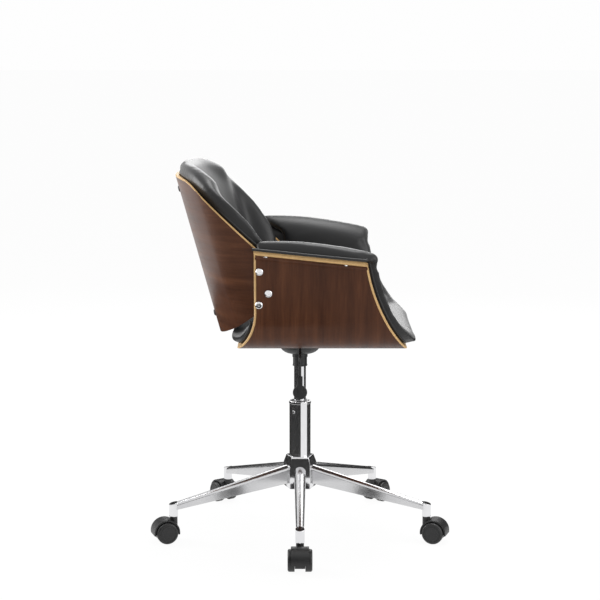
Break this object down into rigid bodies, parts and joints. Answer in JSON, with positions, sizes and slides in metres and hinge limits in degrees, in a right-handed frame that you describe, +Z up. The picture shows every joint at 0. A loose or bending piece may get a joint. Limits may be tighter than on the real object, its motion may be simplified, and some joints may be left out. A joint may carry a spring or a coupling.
{
  "type": "office armchair",
  "caption": "Swivel office armchair with a bent plywood seat and back, black upholstered liners, a gas lift with a release lever and a chromed star base on twin-wheel casters.",
  "frame": {"origin": "on the floor under the column's axis", "axes": "+Z up, +X the way the sitter faces, +Y to the sitter's left; the release lever is on the -Y side"},
  "size_m": [0.698, 0.6639, 0.8854],
  "materials": {
    "walnut": "satin",
    "leather": "satin",
    "chrome": "polished",
    "black_plastic": "satin",
    "black_metal": "satin",
    "steel": "satin"
  },
  "bodies": {
    "base": {"base_hub": "chrome", "base_leg_1": "chrome", "base_leg_2": "chrome", "base_leg_3": "chrome", "base_leg_4": "chrome", "base_leg_5": "chrome", "caster_sockets": "chrome", "outer_tube": "chrome", "guide_bush": "black_plastic", "bush_rivet": "chrome", "end_plate": "steel", "thrust_bearing": "steel"},
    "rod": {"piston_rod": "steel", "piston": "steel", "retaining_clip": "steel"},
    "seat": {"gas_cylinder": "chrome", "cylinder_guide": "steel", "cylinder_sleeve": "black_plastic", "taper_socket": "black_metal", "mechanism_cup": "black_metal", "seat_plate": "black_metal", "plate_bolts": "steel", "lever_pin": "steel", "seat_shell": "walnut", "back_shell": "walnut", "seat_pad": "leather", "back_pad": "leather", "arm_bolts": "chrome", "arm_nuts": "steel", "arm_pad_screws": "chrome", "back_pad_screws": "black_metal", "seat_pad_screws": "black_metal"},
    "lever": {"lever_rod": "black_metal", "lever_paddle": "black_plastic"},
    "valve": {"valve_pin": "steel"},
    "caster_1": {"caster_1_hood": "black_plastic", "caster_1_stem": "steel", "caster_1_axle": "steel"},
    "caster_1_wheel_left": {"caster_1_wheel_left": "black_plastic"},
    "caster_1_wheel_right": {"caster_1_wheel_right": "black_plastic"},
    "caster_2": {"caster_2_hood": "black_plastic", "caster_2_stem": "steel", "caster_2_axle": "steel"},
    "caster_2_wheel_left": {"caster_2_wheel_left": "black_plastic"},
    "caster_2_wheel_right": {"caster_2_wheel_right": "black_plastic"},
    "caster_3": {"caster_3_hood": "black_plastic", "caster_3_stem": "steel", "caster_3_axle": "steel"},
    "caster_3_wheel_left": {"caster_3_wheel_left": "black_plastic"},
    "caster_3_wheel_right": {"caster_3_wheel_right": "black_plastic"},
    "caster_4": {"caster_4_hood": "black_plastic", "caster_4_stem": "steel", "caster_4_axle": "steel"},
    "caster_4_wheel_left": {"caster_4_wheel_left": "black_plastic"},
    "caster_4_wheel_right": {"caster_4_wheel_right": "black_plastic"},
    "caster_5": {"caster_5_hood": "black_plastic", "caster_5_stem": "steel", "caster_5_axle": "steel"},
    "caster_5_wheel_left": {"caster_5_wheel_left": "black_plastic"},
    "caster_5_wheel_right": {"caster_5_wheel_right": "black_plastic"}
  },
  "joints": [
    {"name": "seat_swivel", "type": "hinge", "parent": "base", "child": "rod", "pos_m": [0, 0, 0.12], "axis": [0, 0, 1], "continuous": true},
    {"name": "seat_height", "type": "slide", "parent": "rod", "child": "seat", "axis": [0, 0, 1], "range_m": [-0.075, 0]},
    {"name": "lever_lift", "type": "hinge", "parent": "seat", "child": "lever", "pos_m": [0, -0.034, 0.459], "axis": [-1, 0, 0], "range_deg": [0, 6], "stiffness_Nm_per_rad": 2, "springref_deg": -5.73},
    {"name": "valve_press", "type": "slide", "parent": "seat", "child": "valve", "axis": [0, 0, -1], "range_m": [0, 0.0036]},
    {"name": "caster_1_swivel", "type": "hinge", "parent": "base", "child": "caster_1", "pos_m": [0, -0.31, 0.06], "axis": [0, 0, 1], "continuous": true},
    {"name": "caster_1_roll_left", "type": "hinge", "parent": "caster_1", "child": "caster_1_wheel_left", "pos_m": [0, -0.33, 0.025], "axis": [1, 0, 0], "continuous": true},
    {"name": "caster_1_roll_right", "type": "hinge", "parent": "caster_1", "child": "caster_1_wheel_right", "pos_m": [0, -0.33, 0.025], "axis": [1, 0, 0], "continuous": true},
    {"name": "caster_2_swivel", "type": "hinge", "parent": "base", "child": "caster_2", "pos_m": [0.29483, -0.0958, 0.06], "axis": [0, 0, 1], "continuous": true},
    {"name": "caster_2_roll_left", "type": "hinge", "parent": "caster_2", "child": "caster_2_wheel_left", "pos_m": [0.31385, -0.10198, 0.025], "axis": [0.309, 0.9511, 0], "continuous": true},
    {"name": "caster_2_roll_right", "type": "hinge", "parent": "caster_2", "child": "caster_2_wheel_right", "pos_m": [0.31385, -0.10198, 0.025], "axis": [0.309, 0.9511, 0], "continuous": true},
    {"name": "caster_3_swivel", "type": "hinge", "parent": "base", "child": "caster_3", "pos_m": [0.18221, 0.2508, 0.06], "axis": [0, 0, 1], "continuous": true},
    {"name": "caster_3_roll_left", "type": "hinge", "parent": "caster_3", "child": "caster_3_wheel_left", "pos_m": [0.19397, 0.26698, 0.025], "axis": [-0.809, 0.5878, 0], "continuous": true},
    {"name": "caster_3_roll_right", "type": "hinge", "parent": "caster_3", "child": "caster_3_wheel_right", "pos_m": [0.19397, 0.26698, 0.025], "axis": [-0.809, 0.5878, 0], "continuous": true},
    {"name": "caster_4_swivel", "type": "hinge", "parent": "base", "child": "caster_4", "pos_m": [-0.18221, 0.2508, 0.06], "axis": [0, 0, 1], "continuous": true},
    {"name": "caster_4_roll_left", "type": "hinge", "parent": "caster_4", "child": "caster_4_wheel_left", "pos_m": [-0.19397, 0.26698, 0.025], "axis": [-0.809, -0.5878, 0], "continuous": true},
    {"name": "caster_4_roll_right", "type": "hinge", "parent": "caster_4", "child": "caster_4_wheel_right", "pos_m": [-0.19397, 0.26698, 0.025], "axis": [-0.809, -0.5878, 0], "continuous": true},
    {"name": "caster_5_swivel", "type": "hinge", "parent": "base", "child": "caster_5", "pos_m": [-0.29483, -0.0958, 0.06], "axis": [0, 0, 1], "continuous": true},
    {"name": "caster_5_roll_left", "type": "hinge", "parent": "caster_5", "child": "caster_5_wheel_left", "pos_m": [-0.31385, -0.10198, 0.025], "axis": [0.309, -0.9511, 0], "continuous": true},
    {"name": "caster_5_roll_right", "type": "hinge", "parent": "caster_5", "child": "caster_5_wheel_right", "pos_m": [-0.31385, -0.10198, 0.025], "axis": [0.309, -0.9511, 0], "continuous": true}
  ],
  "couplings": [
    {"joint": "valve_press", "follows": "lever_lift", "m_per_rad": 0.034}
  ]
}
